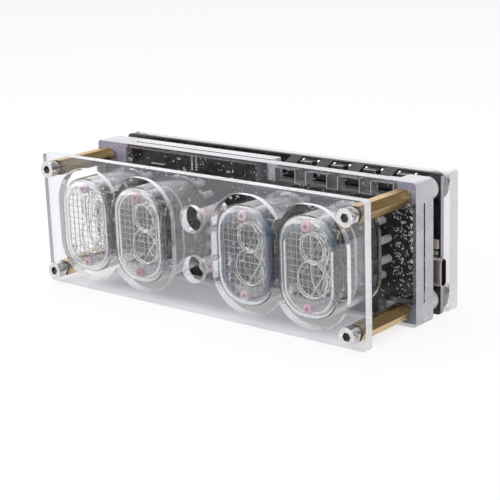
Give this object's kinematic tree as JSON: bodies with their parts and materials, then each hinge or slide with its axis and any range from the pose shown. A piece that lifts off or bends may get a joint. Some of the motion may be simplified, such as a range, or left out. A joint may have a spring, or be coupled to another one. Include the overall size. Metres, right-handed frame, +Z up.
{
  "type": "nixie tube clock",
  "caption": "Desk clock of glass digit tubes between clear plates on brass standoffs, with a black circuit board, press buttons and a power inlet.",
  "frame": {"origin": "in the plane the clock rests on, midway across the plates and midway through the front frame of the middle stack", "axes": "+X to the right seen from the front, +Y to the back, +Z up"},
  "size_m": [0.1315, 0.0546, 0.044],
  "materials": {
    "clear_acrylic": "clear, polished faces and pale cut edges",
    "bright_steel": "bright turned stainless steel",
    "brass": "drawn hexagonal bar, satin",
    "black_board": "black solder mask, semi-gloss",
    "tube_glass": "clear blown glass",
    "mesh_metal": "etched grey metal, satin",
    "numeral_wire": "thin etched metal, satin",
    "pink_ceramic": "matt pale pink ceramic",
    "tinned_metal": "tin plated, bright",
    "light_lens": "clear lens over a white body",
    "black_plastic": "moulded black plastic",
    "gold_pin": "gold plated pins",
    "white_nylon": "translucent white nylon",
    "dark_ferrite": "matt dark ferrite",
    "capacitor_sleeve": "shrunk dark sleeve",
    "chip_ceramic": "small chip parts"
  },
  "bodies": {
    "clock": {"front_panel": "clear_acrylic", "front_screws": "bright_steel", "standoff_top_left": "brass", "standoff_top_right": "brass", "standoff_bottom_left": "brass", "standoff_bottom_right": "brass", "mid_frame_front": "clear_acrylic", "tube_board": "black_board", "mid_frame_rear": "clear_acrylic", "tube_glass_1": "tube_glass", "tube_glass_2": "tube_glass", "tube_glass_3": "tube_glass", "tube_glass_4": "tube_glass", "anode_mesh_1": "mesh_metal", "anode_mesh_2": "mesh_metal", "anode_mesh_3": "mesh_metal", "anode_mesh_4": "mesh_metal", "numerals_1": "numeral_wire", "numerals_2": "numeral_wire", "numerals_3": "numeral_wire", "numerals_4": "numeral_wire", "ceramic_beads_1": "pink_ceramic", "ceramic_beads_2": "pink_ceramic", "ceramic_beads_3": "pink_ceramic", "ceramic_beads_4": "pink_ceramic", "tube_base_1": "tube_glass", "tube_base_2": "tube_glass", "tube_base_3": "tube_glass", "tube_base_4": "tube_glass", "tube_sockets": "tinned_metal", "colon_lamp_glass": "tube_glass", "colon_lamp_electrodes": "numeral_wire", "backlight_leds": "light_lens", "board_header": "black_plastic", "header_pins": "gold_pin", "board_spacers": "white_nylon", "main_board": "black_board", "inlet_shell": "bright_steel", "inlet_tongue": "black_plastic", "switch_bodies": "black_plastic", "switch_covers": "tinned_metal", "switch_domes": "bright_steel", "optocouplers": "black_plastic", "driver_chips": "black_plastic", "microcontroller": "black_plastic", "clock_chip": "black_plastic", "coin_cell": "bright_steel", "coin_cell_holder": "black_plastic", "inductor": "dark_ferrite", "storage_capacitor": "capacitor_sleeve", "power_transistor": "black_plastic", "small_parts": "chip_ceramic", "rear_washers": "clear_acrylic", "rear_cover": "clear_acrylic", "rear_screws": "bright_steel"},
    "button_1_plunger": {"button_1": "black_plastic"},
    "button_2_plunger": {"button_2": "black_plastic"},
    "button_3_plunger": {"button_3": "black_plastic"},
    "button_4_plunger": {"button_4": "black_plastic"}
  },
  "joints": [
    {"name": "button_1_press", "type": "slide", "parent": "clock", "child": "button_1_plunger", "axis": [0, 1, 0], "range_m": [0, 0.00025], "stiffness_N_per_m": 200},
    {"name": "button_2_press", "type": "slide", "parent": "clock", "child": "button_2_plunger", "axis": [0, 1, 0], "range_m": [0, 0.00025], "stiffness_N_per_m": 200},
    {"name": "button_3_press", "type": "slide", "parent": "clock", "child": "button_3_plunger", "axis": [0, 1, 0], "range_m": [0, 0.00025], "stiffness_N_per_m": 200},
    {"name": "button_4_press", "type": "slide", "parent": "clock", "child": "button_4_plunger", "axis": [0, 1, 0], "range_m": [0, 0.00025], "stiffness_N_per_m": 200}
  ]
}
